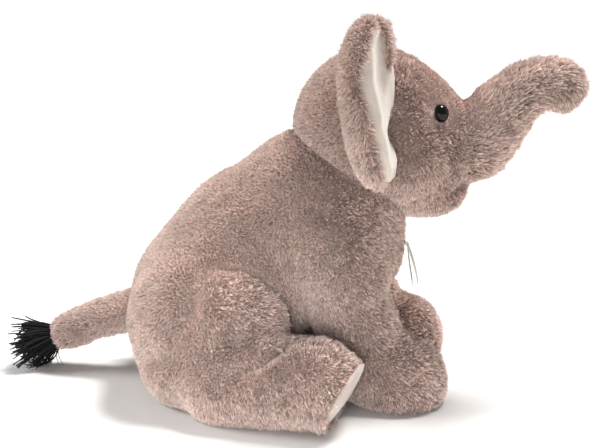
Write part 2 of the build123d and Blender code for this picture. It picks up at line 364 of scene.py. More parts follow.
def plush_skin_material():
    """Backing cloth under the pile: darker, with the pile's tufts in its colour and relief."""
    material, nodes, shader = new_material("plush_skin")
    fine = nodes.pattern(420, 6, 0.7)
    both = {0: fine, 1: nodes.pattern(60, 3)}
    mixed = nodes.add("ShaderNodeMath", both, operation="MULTIPLY").outputs[0]
    stops = [(0.12, PLUSH_DARK), (0.30, PLUSH_MID), (0.45, PLUSH_LIGHT)]
    nodes.fill(shader, {
        "Base Color": colour_ramp(nodes, mixed, stops),
        "Normal": nodes.relief(fine, 0.6, 0.0012),
        "Roughness": 0.9,
        "Sheen Weight": 0.3,
    })
    return material


def velour_material(name, colour, shade):
    """Short velour: an even nap with faint mottling and a soft sheen."""
    material, nodes, shader = new_material(name)
    nap = nodes.pattern(900, 4, 0.6)
    mottled = {"Factor": 0.6, "A": nap, "B": nodes.pattern(90, 3)}
    mixed = nodes.add("ShaderNodeMix", mottled).outputs[0]
    nodes.fill(shader, {
        "Base Color": colour_ramp(nodes, mixed, [(0.35, shade), (0.62, colour)]),
        "Normal": nodes.relief(nap, 0.35, 0.0004),
        "Roughness": 0.95,
        "Sheen Weight": 0.5,
        "Sheen Roughness": 0.5,
    })
    return material


def fibre_material(name, dark, light, scale):
    """Yarn, thread, cord, ribbon, card or pouch cloth: streaky fibres."""
    material, nodes, shader = new_material(name)
    streak = nodes.pattern(scale, 5, 0.65)
    nodes.fill(shader, {
        "Base Color": colour_ramp(nodes, streak, [(0.35, dark), (0.65, light)]),
        "Normal": nodes.relief(streak, 0.5, 0.0004),
        "Roughness": 0.9,
    })
    return material


def moulded_material(name, colour, roughness, specular=0.5):
    """Moulded plastic with faint waviness."""
    material, nodes, shader = new_material(name)
    wave = nodes.pattern(260, 2)
    shade = tuple(0.8 * channel + 0.004 for channel in colour)
    ends = {"Value": wave, "To Min": roughness, "To Max": roughness * 1.4}
    nodes.fill(shader, {
        "Base Color": colour_ramp(nodes, wave, [(0.3, colour), (0.7, shade)]),
        "Normal": nodes.relief(wave, 0.04, 0.0003),
        "Roughness": nodes.add("ShaderNodeMapRange", ends).outputs["Result"],
        "Specular IOR Level": specular,
    })
    return material


PILE = plush_strand_material()
SKIN = plush_skin_material()
LINING = velour_material("ear_velour", (0.72, 0.64, 0.565), (0.60, 0.53, 0.46))
SOLE = velour_material("sole_velour", (0.60, 0.50, 0.45), (0.50, 0.41, 0.365))
YARN = fibre_material("tuft_yarn", (0.001, 0.001, 0.0015), (0.006, 0.006, 0.009), 900)
THREAD = fibre_material("thread", (0.16, 0.10, 0.085), (0.34, 0.23, 0.20), 1500)
CORD = fibre_material("cord", (0.62, 0.52, 0.40), (0.82, 0.74, 0.62), 1500)
RIBBON = fibre_material("label_ribbon", (0.74, 0.72, 0.68), (0.86, 0.85, 0.82), 1200)
CARD = fibre_material("tag_card", (0.70, 0.65, 0.56), (0.84, 0.80, 0.72), 500)
POUCH = fibre_material("pouch_cloth", (0.55, 0.52, 0.47), (0.72, 0.69, 0.64), 800)
PELLETS = moulded_material("pellets", (0.78, 0.78, 0.75), 0.45)
WASHER = moulded_material("washer_plastic", (0.72, 0.72, 0.70), 0.5)
EYE = moulded_material("eye_black", (0.0015, 0.0015, 0.0015), 0.08, 0.3)

# ---------------------------------------------------------------- pile


def pile_group():
    """A node group that grows pile from a skin.

    It reads the skin's attributes: cover (share of the full density), pile (share of the full
    length) and comb (which way the pile lies).
    """
    tree = bpy.data.node_groups.new("pile", "GeometryNodeTree")
    face = tree.interface
    face.new_socket("Geometry", in_out="INPUT", socket_type="NodeSocketGeometry")
    for socket in ("Density", "Length", "Radius"):
        face.new_socket(socket, in_out="INPUT", socket_type="NodeSocketFloat")
    face.new_socket("Seed", in_out="INPUT", socket_type="NodeSocketInt")
    face.new_socket("Geometry", in_out="OUTPUT", socket_type="NodeSocketGeometry")
    nodes = Nodes(tree)
    group_in = nodes.add("NodeGroupInput").outputs

    def named(name, kind):
        node = nodes.add("GeometryNodeInputNamedAttribute", {"Name": name}, data_type=kind)
        return node.outputs["Attribute"]

    def maths(operation, first, second):
        return nodes.add("ShaderNodeMath", {0: first, 1: second}, operation=operation).outputs[0]

    def vectors(operation, first, second):
        inputs = {0: first, ("Scale" if operation == "SCALE" else 1): second}
        return nodes.add("ShaderNodeVectorMath", inputs, operation=operation).outputs[0]

    def store(geometry, name, value, kind):
        inputs = {"Geometry": geometry, "Name": name, "Value": value}
        node = nodes.add("GeometryNodeStoreNamedAttribute", inputs, data_type=kind, domain="POINT")
        return node.outputs["Geometry"]

    def wander(scale, detail):
        """A vector that changes smoothly from place to place, centred on zero."""
        place = named("root", "FLOAT_VECTOR")
        texture = nodes.add("ShaderNodeTexNoise", {"Vector": place, "Scale": scale, "Detail": detail})
        return vectors("SUBTRACT", texture.outputs["Color"], (0.5, 0.5, 0.5)), texture.outputs["Fac"]

    scatter = nodes.add("GeometryNodeDistributePointsOnFaces", {
        "Mesh": group_in["Geometry"],
        "Density": maths("MULTIPLY", group_in["Density"], named("cover", "FLOAT")),
        "Seed": group_in["Seed"],
    })
    roots = store(scatter.outputs["Points"], "away", scatter.outputs["Normal"], "FLOAT_VECTOR")
    roots = store(roots, "root", nodes.add("GeometryNodeInputPosition").outputs[0], "FLOAT_VECTOR")
    line = nodes.add("GeometryNodeCurvePrimitiveLine")
    strand = nodes.add("GeometryNodeResampleCurve", {"Curve": line.outputs["Curve"], "Count": 5})
    copies = {"Points": roots, "Instance": strand.outputs["Curve"]}
    placed = nodes.add("GeometryNodeInstanceOnPoints", copies)
    real = nodes.add("GeometryNodeRealizeInstances", {"Geometry": placed.outputs["Instances"]})

    along = nodes.add("GeometryNodeSplineParameter").outputs["Factor"]
    tuft, lengths = wander(170, 2)
    fine, tones = wander(650, 1)
    broad, patches = wander(38, 2)
    lean = vectors("ADD", named("comb", "FLOAT_VECTOR"), vectors("SCALE", tuft, 0.9))
    lean = vectors("ADD", lean, vectors("SCALE", fine, 1.9))
    lean = vectors("ADD", lean, vectors("SCALE", broad, 0.4))
    size = maths("MULTIPLY", maths("MULTIPLY", group_in["Length"], named("pile", "FLOAT")),
                 maths("ADD", maths("MULTIPLY", lengths, 0.8), 0.6))
    up = vectors("SCALE", named("away", "FLOAT_VECTOR"), maths("MULTIPLY", along, size))
    over = vectors("SCALE", lean, maths("MULTIPLY", maths("POWER", along, 1.6), size))
    grown = vectors("ADD", named("root", "FLOAT_VECTOR"), vectors("ADD", up, over))
    curved = nodes.add("GeometryNodeSetPosition", {"Geometry": real.outputs["Geometry"], "Position": grown})
    taper = maths("SUBTRACT", 1.0, maths("MULTIPLY", along, 0.72))
    thick = nodes.add("GeometryNodeSetCurveRadius", {
        "Curve": curved.outputs["Geometry"], "Radius": maths("MULTIPLY", taper, group_in["Radius"]),
    })
    tone = maths("ADD", maths("MULTIPLY", tones, 1.7), maths("MULTIPLY", patches, 0.4))
    toned = store(thick.outputs["Curve"], "tone", maths("SUBTRACT", tone, 0.05), "FLOAT")
    coloured = nodes.add("GeometryNodeSetMaterial", {"Geometry": toned, "Material": PILE})
    group_out = nodes.add("NodeGroupOutput")
    tree.links.new(coloured.outputs["Geometry"], group_out.inputs["Geometry"])
    return tree


PILE_GROUP = pile_group()
PILES = []


def combed(obj, direction, amount):
    """Lay the pile along a direction, flattened onto the skin."""
    normals = normals_of(obj)
    way = np.broadcast_to(np.array(direction, float), normals.shape)
    flat = way - normals * np.sum(way * normals, axis=1)[:, None]
    return flat * amount


def grow_pile(obj, seed, comb, cover=None, pile=None):
    """Give a skin its backing cloth and its per-vertex pile settings, and list it for strands."""
    count = len(obj.data.vertices)
    vector_attribute(obj, "comb", comb)
    float_attribute(obj, "cover", np.ones(count) if cover is None else cover)
    float_attribute(obj, "pile", np.ones(count) if pile is None else pile)
    finish(obj, SKIN)
    PILES.append((obj, seed))


def seam(first, second, width=4.5, ahead_of=-1.0):
    """Shorten the pile of two skins where they meet, so that the join reads as a sewn line.

    Width is in millimetres. Only what lies ahead of the given x is changed.
    """
    skins = [bpy.data.objects[name] for name in (first, second)]
    trees = []
    for skin in skins:
        corners = [vertex.co for vertex in skin.data.vertices]
        trees.append(BVHTree.FromPolygons(corners, [face.vertices for face in skin.data.polygons]))
    for skin, other in zip(skins, reversed(trees)):
        near = [other.find_nearest(vertex.co, width * MM)[3] for vertex in skin.data.vertices]
        gap = np.array([width * MM if distance is None else distance for distance in near]) / (width * MM)
        gap = np.maximum(gap, np.clip((ahead_of - points_of(skin)[:, 0]) / (20 * MM), 0, 1))
        pile = skin.data.attributes["pile"].data
        lengths = np.empty(len(pile), dtype=np.float32)
        pile.foreach_get("value", lengths)
        pile.foreach_set("value", (lengths * (0.25 + 0.75 * gap)).astype(np.float32))


def grow_strands(obj, seed):
    """Add the hair object that grows pile on one skin, wherever the skin moves."""
    tree = bpy.data.node_groups.new(f"{obj.name}_pile", "GeometryNodeTree")
    tree.interface.new_socket("Geometry", in_out="INPUT", socket_type="NodeSocketGeometry")
    tree.interface.new_socket("Geometry", in_out="OUTPUT", socket_type="NodeSocketGeometry")
    nodes = Nodes(tree)
    nodes.add("NodeGroupInput")
    skin = nodes.add("GeometryNodeObjectInfo", {"Object": obj}, transform_space="RELATIVE")
    inputs = {
        "Geometry": skin.outputs["Geometry"],
        "Density": PILE_DENSITY,
        "Length": PILE_LENGTH,
        "Radius": PILE_RADIUS,
        "Seed": seed,
    }
    grown = nodes.add("GeometryNodeGroup", inputs, node_tree=PILE_GROUP)
    nodes.add("NodeGroupOutput", {0: grown.outputs["Geometry"]})
    strands = bpy.data.objects.new(f"{obj.name}_pile", bpy.data.hair_curves.new(f"{obj.name}_pile"))
    bpy.context.scene.collection.objects.link(strands)
    strands.modifiers.new("pile", "NODES").node_group = tree


# ---------------------------------------------------------------- body


def build_torso():
    """The body: rump, back, chest and shoulders in one skin."""
    bm = bmesh.new()
    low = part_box("torso_cover")[0]
    seat = Vector((low.x, 0, 0)) + mm(63, 0, 58)
    chest = Vector((NECK.x, 0, NECK.z)) + mm(-25, 0, -26)
    hull(bm, (seat, 62), (chest, 60))
    hull(bm, ((seat + chest) / 2 + mm(-5, 0, 2), 63.5), (seat, 62.5))
    hull(bm, (chest, 58), (chest + mm(13, 0, -25), 47))
    hull(bm, (chest, 56), (NECK, 43))
    for _, side in SIDES:
        hull(bm, (at(SHOULDER, side, 0, 2, 2), 31), (at(SHOULDER, side, 12, 4, -30), 27))
        haunch = (at(HIP, side, -15, -1, 6), 48)
        hull(bm, haunch, (at(HIP, side, 20, -16, 0), 38))
        hull(bm, haunch, (seat.lerp(chest, 0.28), 62.5))
        hull(bm, haunch, (at(HIP, side, -17, 3, -12), 40.5), (seat, 60))
    obj = remeshed("body_plush", bm, 5)
    smooth(obj, 8)
    plumped(obj, 3.0)
    tufts(obj, 0.7, 9)
    sit(obj)
    points = points_of(obj)
    on_floor = points[:, 2] < 1.5 * MM
    grow_pile(obj, 1, combed(obj, (-0.5, 0, -0.9), 0.35), cover=np.where(on_floor, 0.0, 1.0))
    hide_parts("torso_cover", "torso_filling")
    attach(obj, "torso")


def build_neck():
    """A furred ball that fills the neck's fold when the head nods."""
    bm = bmesh.new()
    hull(bm, (NECK, 38), (NECK + mm(6, 0, 8), 36))
    obj = remeshed("neck_plush", bm, 4)
    smooth(obj, 4)
    grow_pile(obj, 2, combed(obj, (-0.5, 0, -0.9), 0.3))
    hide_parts("neck_filling")
    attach(obj, "neck")


def smooth_patch(points):
    """Where the short-piled panel between the eyes and the trunk lies: 1 inside it, 0 outside."""
    x = (points[:, 0] - TRUNK_ROOT.x) / MM
    z = (points[:, 2] - TRUNK_ROOT.z) / MM
    above = np.clip((z - 9) / 8, 0, 1)
    behind = np.clip((26 + (34 - z) * 1.2 - x) / 3, 0, 1)
    ahead = np.clip((x + 22) / 14, 0, 1)
    return above * behind * ahead


def build_head():
    """The head: skull, cheeks, jaw and the root of the trunk."""
    bm = bmesh.new()
    skull = NECK + mm(13, 0, 34)
    jaw = NECK + mm(55.5, 0, -3.5)
    hull(bm, (skull, 55))
    hull(bm, (skull + mm(10, 0, -16), 44), (jaw, 24.5))
    for _, side in SIDES:
        hull(bm, (at(TRUNK_ROOT, side, 8.5, 8, -34), 10), (jaw, 22))
    hull(bm, (skull + mm(14.5, 0, 2), 46.5), (TRUNK_ROOT + mm(9, 0, 0), 26.5))
    for _, side in SIDES:
        cheek = skull + mm(22, side * 20, -14)
        hull(bm, (cheek, 33), (skull, 48))
    obj = remeshed("head_plush", bm, 4.5)
    smooth(obj, 7)
    stuffed(obj, 1.6)
    subdivided(obj)
    mouth = [TRUNK_ROOT + mm(17, side * 15, -24) for side in (-1, 0, 1)]
    crease(obj, mouth, 3, 3.5)
    eyes = [sum(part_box(f"eye_{name}"), Vector()) / 2 for name, _ in SIDES]
    for (_, side), socket in zip(SIDES, eyes):
        crease(obj, [at(TRUNK_ROOT, side, 17, 15, -24), at(TRUNK_ROOT, side, 3, 26, -35)], 3, 3)
        crease(obj, [socket, socket + mm(1, 0, 0)], 2.5, 9)
    tufts(obj, 0.6, 8)
    points = points_of(obj)
    near_eye = np.min([np.linalg.norm(points - np.array(eye), axis=1) for eye in eyes], axis=0)
    cover = np.clip((near_eye - 5.4 * MM) / (3 * MM), 0, 1)
    pile = 0.3 + 0.7 * np.clip((near_eye - 6 * MM) / (10 * MM), 0, 1)
    pile *= 1 - 0.5 * smooth_patch(points)
    grow_pile(obj, 3, combed(obj, (-0.7, 0, -0.6), 0.4), cover=cover, pile=pile)
    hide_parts("head_cover", "head_filling")
    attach(obj, "head")


TRUNK_PATH = (  # forward and up from the trunk's root, and radius
    (4, -1, 26.5),
    (22, 3, 26),
    (34, 14.5, 22.5),
    (44, 26, 18.6),
    (56, 37.8, 15.6),
    (68, 43.8, 14.4),
    (79, 44, 14.4),
    (83.5, 41.8, 14.1),
    (84, 39.5, 12.8),
)


def build_trunk():
    """The trunk: a tapering curl with longer, wavier pile."""
    bm = bmesh.new()
    root = TRUNK_ROOT
    balls = [(root + mm(x, 0, z), radius) for x, z, radius in TRUNK_PATH]
    chain(bm, balls)
    obj = remeshed("trunk_plush", bm, 3)
    smooth(obj, 6)
    inflate(obj, 0.6)
    subdivided(obj)
    tufts(obj, 0.8, 7)
    points = points_of(obj)
    centres = np.array([centre for centre, _ in balls])
    nearest = np.argmin(np.linalg.norm(points[:, None] - centres[None], axis=2), axis=1)
    onward = np.gradient(centres, axis=0)
    onward /= np.linalg.norm(onward, axis=1)[:, None]
    along = points[:, 0] - root.x
    pile = 0.75 + 0.45 * np.clip((along - 22 * MM) / (20 * MM), 0, 1)
    cover = np.clip((along - 6 * MM) / (6 * MM), 0, 1)
    pile *= 1.1 - 0.65 * smooth_patch(points)
    grow_pile(obj, 4, combed(obj, onward[nearest], 0.75), cover=cover, pile=pile)
    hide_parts("trunk_cover", "trunk_filling")
    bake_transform(obj)


# ---------------------------------------------------------------- legs


def velour_pad(name, centre, aim, radius, rise):
    """A padded disc with a sewn edge, facing aim with its face at centre. Radius and rise in mm."""
    rings, spokes = 14, 72
    bm = bmesh.new()
    grid = []
    for ring in range(rings + 1):
        share = ring / rings
        row = []
        for spoke in range(spokes):
            angle = 2 * math.pi * spoke / spokes
            ripple = 1 + 0.012 * math.sin(9 * angle) * share
            reach = radius * share * ripple * MM
            sunk = rise * share ** 3.2 * MM
            row.append(bm.verts.new((reach * math.cos(angle), reach * math.sin(angle), -sunk)))
        grid.append(row)
    for inner, outer in zip(grid, grid[1:]):
        for spoke in range(spokes):
            after = (spoke + 1) % spokes
            bm.faces.new((inner[spoke], outer[spoke], outer[after], inner[after]))
    bmesh.ops.remove_doubles(bm, verts=bm.verts, dist=1e-7)
    edge = [item for item in bm.edges if item.is_boundary]
    wall = bmesh.ops.extrude_edge_only(bm, edges=edge)
    lower = [item for item in wall["geom"] if isinstance(item, bmesh.types.BMVert)]
    for vert in lower:
        vert.co.z -= 2.0 * MM
        vert.co.xy *= 0.96
    bm.faces.new(sorted(lower, key=lambda vert: math.atan2(vert.co.y, vert.co.x)))
    bmesh.ops.recalc_face_normals(bm, faces=bm.faces)
    obj = object_from(name, bm)
    turn = aim.to_track_quat("Z", "Y").to_matrix().to_4x4()
    obj.data.transform(Matrix.Translation(centre) @ turn)
    finish(obj, SOLE)
    return obj


def build_foreleg(name, side):
    """A foreleg: a propping arm with a broad rounded foot and a velour sole."""
    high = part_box(f"foreleg_{name}_cover")[1]
    foot_height = 14 if side < 0 else 21  # the left foot sits a little higher
    foot = Vector((high.x - 29 * MM, side * (abs(SHOULDER.y) + 6 * MM), foot_height * MM))
    elbow = at(SHOULDER, side, 16, 3, -48)
    wrist = at(SHOULDER, side, 26, 5, -80)
    bm = bmesh.new()
    hull(bm, (at(SHOULDER, side, 0, 0, 0), 28.5), (elbow, 27))
    hull(bm, (elbow, 27), (wrist, 27.5))
    hull(bm, (wrist, 27.5), (foot, 31))
    obj = remeshed(f"foreleg_{name}_plush", bm, 4.5)
    smooth(obj, 5)
    plumped(obj, 2.0, 1.6)
    tufts(obj, 0.7, 9)
    sit(obj, 1.6)
    points = points_of(obj)
    under = points[:, 2] < 2.5 * MM
    grow_pile(obj, 10 + side, combed(obj, (0.15, 0, -1), 0.35), cover=np.where(under, 0.0, 1.0))
    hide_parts(f"foreleg_{name}_cover", f"foreleg_{name}_filling")
    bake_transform(obj)
    under_foot = Vector((foot.x, foot.y, 0))
    sole = velour_pad(f"foreleg_{name}_sole_velour", under_foot, Vector((0, 0, -1)), 20, 1.6)
    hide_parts(f"foreleg_{name}_sole")
    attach(sole, f"foreleg_{name}")


def on_flank(obj, side, x, z):
    """The outermost point of a leg's skin at a forward and upward offset from the hip, in mm."""
    points = points_of(obj)
    goal = at(HIP, side, x, 0, z)
    near = np.hypot(points[:, 0] - goal.x, points[:, 2] - goal.z) < 4 * MM
    if not near.any():
        return at(HIP, side, x, 40, z)
    found = points[near][np.argmax(side * points[near][:, 1])]
    return Vector(found)


def build_hindleg(name, side):
    """A hind leg: a round thigh, a lower leg along the floor, and a foot with a pale sole."""
    sole_centre = sum(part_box(f"hindleg_{name}_sole"), Vector()) / 2
    aim = Vector((0.85, side * 0.20, -0.48)).normalized()
    foot = sole_centre - aim * 13 * MM
    foot.z = 25 * MM
    bm = bmesh.new()
    hull(bm, (at(HIP, side, -2, -2, 3), 45.5), (at(HIP, side, 6, 6, 6), 44.5))
    hull(bm, (at(HIP, side, -16, 9, -18), 38), (at(HIP, side, 2, 14, -14), 40))
    hull(bm, (at(HIP, side, 10, 33, -27), 31), (foot - aim * 8 * MM, 28))
    hull(bm, (foot - aim * 10 * MM, 28), (foot + aim * 1 * MM, 26.5))
    obj = remeshed(f"hindleg_{name}_plush", bm, 4.5)
    points = points_of(obj)
    front = np.array(sole_centre + aim * 0.5 * MM)
    past = np.maximum((points - front) @ np.array(aim), 0)
    set_points(obj, points - past[:, None] * np.array(aim))
    smooth(obj, 4)
    plumped(obj, 2.0)
    knee = [on_flank(obj, side, x, z) for x, z in ((60, 10), (48, 5), (36, -2), (22, -10))]
    crease(obj, knee, 6.5, 4.5)
    above_knee = [on_flank(obj, side, x, z) for x, z in ((60, 18), (45, 17))]
    crease(obj, above_knee, 3, 3)
    tufts(obj, 0.7, 9)
    sit(obj)
    points = points_of(obj)
    radial = np.linalg.norm(np.cross(points - front, np.array(aim)), axis=1)
    on_sole = ((points - front) @ np.array(aim) > -4 * MM) & (radial < 24 * MM)
    on_floor = points[:, 2] < 1.5 * MM
    cover = np.where(on_sole | on_floor, 0.0, 1.0)
    grow_pile(obj, 20 + side, combed(obj, (0.3, 0, -1), 0.35), cover=cover)
    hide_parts(f"hindleg_{name}_cover", f"hindleg_{name}_filling")
    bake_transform(obj)
    sole = velour_pad(f"hindleg_{name}_sole_velour", sole_centre + aim * 2.2 * MM, aim, 24, 3.0)
    points = points_of(sole)
    points[:, 2] = np.maximum(points[:, 2], 0.4 * MM)
    set_points(sole, points)
    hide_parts(f"hindleg_{name}_sole")
    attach(sole, f"hindleg_{name}")


# ---------------------------------------------------------------- tail


def build_tail():
    """The tail: a stuffed tube."""
    middle = (TAIL_ROOT + TUFT_ROOT) / 2
    bm = bmesh.new()
    chain(bm, [
        (TAIL_ROOT + mm(14, 0, 3), 15),
        (TAIL_ROOT + mm(-10, 0, -3), 13.2),
        (middle + mm(-4, 0, 1), 12.1),
        (TUFT_ROOT, 11.3),
    ])
    obj = remeshed("tail_plush", bm, 3)
    smooth(obj, 4)
    inflate(obj, 0.5)
    subdivided(obj)
    tufts(obj, 0.5, 7)
    grow_pile(obj, 5, combed(obj, (-1, 0, -0.35), 0.55))
    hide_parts("tail_cover", "tail_filling")
    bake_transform(obj)


def tube(bm, path, radius, sides=5):
    """Add a tapering tube along a list of points."""
    rows = []
    for index, point in enumerate(path):
        before = path[max(index - 1, 0)]
        after = path[min(index + 1, len(path) - 1)]
        turn = (after - before).to_track_quat("Z", "Y")
        share = index / (len(path) - 1)
        reach = radius * (1 - 0.35 * share ** 3)
        row = []
        for step in range(sides):
            angle = 2 * math.pi * step / sides
            offset = turn @ Vector((math.cos(angle) * reach, math.sin(angle) * reach, 0))
            row.append(bm.verts.new(point + offset))
        rows.append(row)
    for lower, upper in zip(rows, rows[1:]):
        for step in range(sides):
            after = (step + 1) % sides
            bm.faces.new((lower[step], lower[after], upper[after], upper[step]))
    bm.faces.new(rows[0][::-1])
    bm.faces.new(rows[-1])


TUFT_YARNS = 230


def build_tuft():
    """A fan of black yarn at the tail's end."""
    random = np.random.default_rng(7)
    away = (TUFT_ROOT - TAIL_ROOT).normalized()
    root = TUFT_ROOT + away * 7 * MM
    across = Vector((0, 1, 0))
    upward = across.cross(away).normalized()
    bm = bmesh.new()
    for _ in range(TUFT_YARNS):
        angle = random.uniform(0, 2 * math.pi)
        spread = math.sqrt(random.uniform(0, 1))
        radial = across * math.cos(angle) + upward * math.sin(angle)
        start = root + radial * spread * 6 * MM
        fan = radial * spread * random.uniform(0.35, 0.8)
        heading = (away + fan).normalized()
        length = random.uniform(24, 36) * MM
        kink = Vector(random.normal(0, 1, 3)) * 2.2 * MM
        droop = Vector((0, 0, -1)) * random.uniform(1, 6) * MM
        path = []
        for step in range(7):
            share = step / 6
            wave = kink * math.sin(share * math.pi * random.uniform(1.0, 1.6))
            point = start + heading * length * share + droop * share ** 2 + wave * share
            point.z = max(point.z, 1.2 * MM)  # the yarn lies on the floor
            path.append(point)
        tube(bm, path, random.uniform(0.55, 0.8) * MM)
    for lean, length in ((0.1, 27), (0.45, 31), (0.6, 29)):
        heading = (away + Vector((lean, 0.1 * lean, -1.3))).normalized()
        bend = Vector((0.25, 0, 0.1)) * length * MM
        path = [root + heading * length * MM * step / 6 + bend * (step / 6) ** 3 for step in range(7)]
        tube(bm, path, 0.3 * MM)
    obj = object_from("tail_tuft_yarn", bm)
    finish(obj, YARN)
    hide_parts("tail_tuft")
    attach(obj, "tuft")


# ---------------------------------------------------------------- ears


EAR_HALF_HEIGHT = 53.5
EAR_HALF_DEPTH = 20  # sideways, from the ear's axis to its outer rim
EAR_WALL = 4.6
EAR_RISES = (-1, -0.45, 0, 0.4, 1)  # heights at which the outline below is given, from -1 to 1
EAR_AXIS = (-8.5, -15.4, -16, -17.4, -15.5)  # forward of the hinge
EAR_HALF_WIDTH = (18.5, 14, 17, 18.0, 19.5)

# The lining, seen from the side: its rear edge, its fold and its front edge, forward of the hinge
LINING_RISES = (-0.93, -0.7, -0.38, -0.24, -0.1, 0.3, 0.7, 0.88)
LINING_REAR = (-8, -10.5, -15, -19, -22, -26, -23.5, -15.5)
LINING_FOLD = (-3.5, -4.0, -6.6, -9.4, -9.5, -14.9, -15.8, -13.6)
LINING_FRONT = (-3.5, -1.5, -6.9, -5.6, -4.8, -4.3, -8.3, -11.6)


def ear_taper(rise):
    """How far the ear's section has narrowed at a height, from 1 in the middle to 0 at the ends."""
    return max(1 - abs(rise) ** 2.6, 0) ** (1 / 2.1)


def ear_point(side, turn, rise, inset):
    """A point of the ear's shell. It turns round the ear's axis from forward, by way of outward."""
    taper = ear_taper(rise)
    wide = max(np.interp(rise, EAR_RISES, EAR_HALF_WIDTH) * taper - inset, 0.4)
    deep = max(EAR_HALF_DEPTH * taper - inset, 0.4)
    x = np.interp(rise, EAR_RISES, EAR_AXIS) + wide * math.cos(turn)
    y = 10 - 5 * (1 - taper) + deep * math.sin(turn)
    return at(EAR_HINGE, side, x, y, rise * (EAR_HALF_HEIGHT - inset * 0.8))


def ear_shell(side):
    """The ear's plush cup: two skins joined at the rims."""
    rows, columns = 40, 44
    bm = bmesh.new()
    shells = []
    for inset in (0, EAR_WALL):
        shell = []
        for row in range(rows + 1):
            rise = -0.995 + 1.99 * row / rows
            outer_turn = math.radians(88 + 32 * math.exp(-(((rise - 0.3) / 0.5) ** 2)))
            inner_turn = math.radians(np.interp(rise, (0.25, 0.5), (285, 322)))
            line = []
            for column in range(columns + 1):
                turn = outer_turn + (inner_turn - outer_turn) * column / columns
                line.append(bm.verts.new(ear_point(side, turn, rise, inset)))
            shell.append(line)
        shells.append(shell)
    outer, inner = shells
    for row in range(rows):
        for column in range(columns):
            for shell in shells:
                bm.faces.new((shell[row][column], shell[row][column + 1],
                              shell[row + 1][column + 1], shell[row + 1][column]))
        for column in (0, columns):
            bm.faces.new((outer[row][column], outer[row + 1][column],
                          inner[row + 1][column], inner[row][column]))
    for column in range(columns):
        for row in (0, rows):
            bm.faces.new((outer[row][column], outer[row][column + 1],
                          inner[row][column + 1], inner[row][column]))
    bmesh.ops.recalc_face_normals(bm, faces=bm.faces)
    return bm


def ear_lining(side):
    """The ear's velour lining: a strip inside the outer rim, a fold, and a deeper panel to the head."""
    rows, columns = 48, 30
    bm = bmesh.new()
    grid = []
    for row in range(rows + 1):
        rise = LINING_RISES[0] + (LINING_RISES[-1] - LINING_RISES[0]) * row / rows
        taper = ear_taper(rise)
        rear = np.interp(rise, LINING_RISES, LINING_REAR)
        fold = np.interp(rise, LINING_RISES, LINING_FOLD)
        front = np.interp(rise, LINING_RISES, LINING_FRONT)
        lobe = math.exp(-(((rise + 0.76) / 0.2) ** 2))
        out = 10 - 5 * (1 - taper)
        section_x = (rear - 3, rear, fold, fold + 1, front, front + 2.5)
        section_y = (out + 13 * taper, out + 15 * taper, out + 17 * taper, out + (3 + 9 * lobe) * taper,
                     out - (16 - 18 * lobe) * taper, out - (21 - 8 * lobe) * taper)
        line = []
        for column in range(columns + 1):
            share = column / columns * (len(section_x) - 1)
            x = np.interp(share, range(len(section_x)), section_x)
            y = np.interp(share, range(len(section_y)), section_y)
            line.append(bm.verts.new(at(EAR_HINGE, side, x, y, rise * EAR_HALF_HEIGHT)))
        grid.append(line)
    for lower, upper in zip(grid, grid[1:]):
        for column in range(columns):
            quad = (lower[column], lower[column + 1], upper[column + 1], upper[column])
            bm.faces.new(quad if side > 0 else quad[::-1])
    return bm


def build_ear(name, side):
    """An ear: a plush back that rolls round the rim, and a velour lining in two folds."""
    obj = remeshed(f"ear_{name}_plush", ear_shell(side), 1.6)
    smooth(obj, 8)
    inflate(obj, 0.6)
    tufts(obj, 0.6, 7)
    points, normals = points_of(obj), normals_of(obj)
    rises = np.clip((points[:, 2] - EAR_HINGE.z) / (EAR_HALF_HEIGHT * MM), -1, 1)
    axis_x = EAR_HINGE.x + np.interp(rises, EAR_RISES, EAR_AXIS) * MM
    axis_y = side * (EAR_HINGE.y + 8 * MM)
    outward = np.stack([points[:, 0] - axis_x, points[:, 1] - axis_y], axis=1)
    facing = np.sum(outward * normals[:, :2], axis=1) / np.maximum(np.linalg.norm(outward, axis=1), 1e-6)
    cover = np.clip((facing + 0.25) / 0.2, 0, 1)
    near_end = np.abs(rises) > 0.93
    cover[near_end] = 1
    grow_pile(obj, 30 + side, combed(obj, (-0.3, 0, -1), 0.4), cover=cover, pile=np.full(len(points), 1.15))
    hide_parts(f"ear_{name}_back")
    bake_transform(obj)

    cloth = object_from(f"ear_{name}_velour", ear_lining(side))
    smooth(cloth, 3)
    solid = cloth.modifiers.new("cloth", "SOLIDIFY")
    solid.thickness = 1.2 * MM
    solid.offset = 0
    subdivided(cloth)
    tufts(cloth, 0.25, 6)
    finish(cloth, LINING)
    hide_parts(f"ear_{name}_lining")
    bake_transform(cloth)


# ---------------------------------------------------------------- eyes, tag and small pieces


